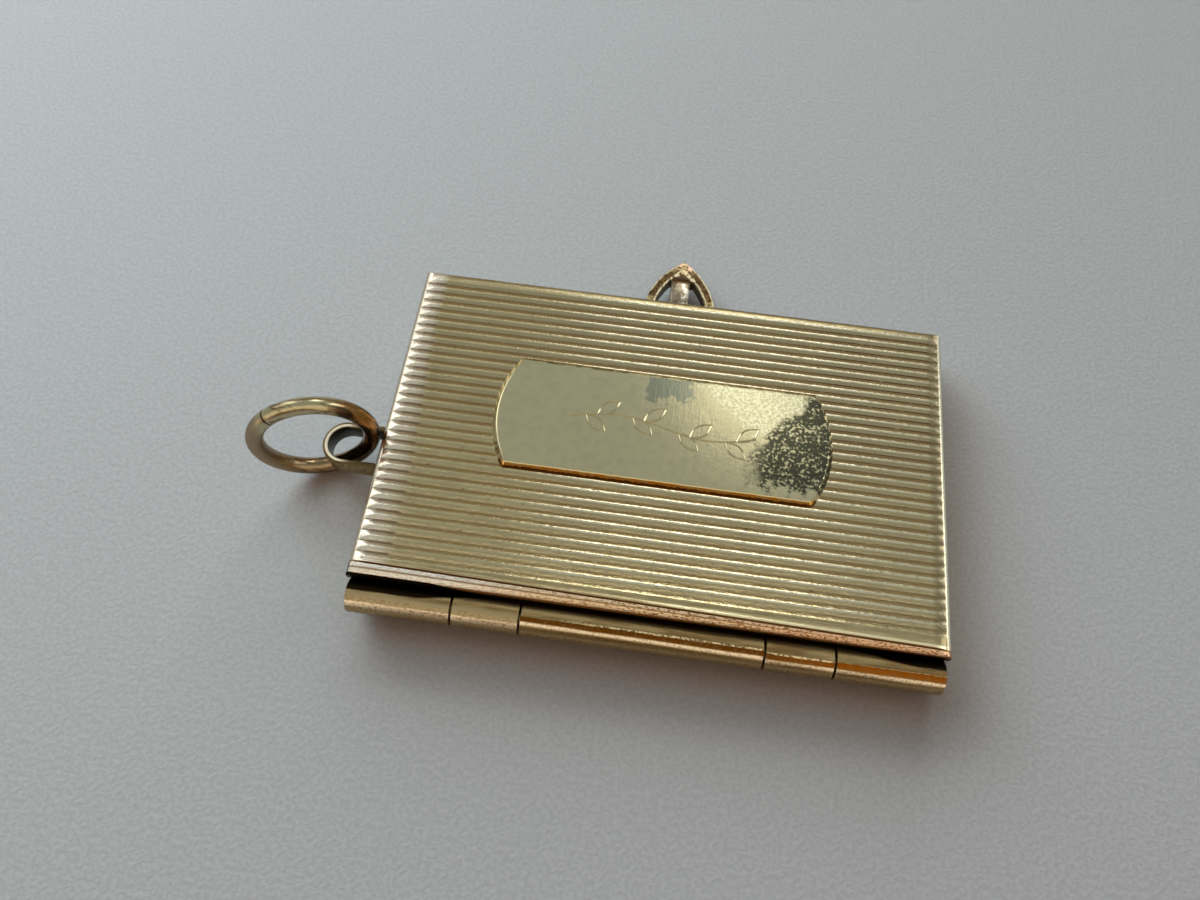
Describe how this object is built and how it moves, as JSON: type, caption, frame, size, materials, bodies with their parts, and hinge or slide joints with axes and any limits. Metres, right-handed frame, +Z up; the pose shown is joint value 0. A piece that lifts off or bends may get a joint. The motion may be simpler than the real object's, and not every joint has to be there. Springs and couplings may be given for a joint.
{
  "type": "book locket",
  "caption": "Rectangular metal book locket with a fine-ribbed cover, raised plaque, barrel hinge, pointed loop catch and a jump ring for a chain.",
  "frame": {"origin": "middle of the back cover's outer face, which the locket lies on", "axes": "+X along the hinge, away from the jump ring's side; +Y from the hinge to the opening side; +Z up, out of the front cover"},
  "size_m": [0.0349, 0.0231, 0.0064],
  "materials": {
    "front_gold": "worn gold-tone metal, satin, with tarnish in the grooves",
    "back_gold": "worn gold-tone metal, softly polished, with fine scratches",
    "pin_metal": "plain drawn wire",
    "ring_gold": "polished round wire with brown tarnish"
  },
  "bodies": {
    "back": {"back_cover": "back_gold", "hinge_pin": "pin_metal", "jump_ring": "ring_gold"},
    "front": {"front_cover": "front_gold"}
  },
  "joints": [
    {"name": "cover_hinge", "type": "hinge", "parent": "back", "child": "front", "pos_m": [0, -0.00945, 0.00145], "axis": [1, 0, 0], "range_deg": [0, 180]}
  ]
}
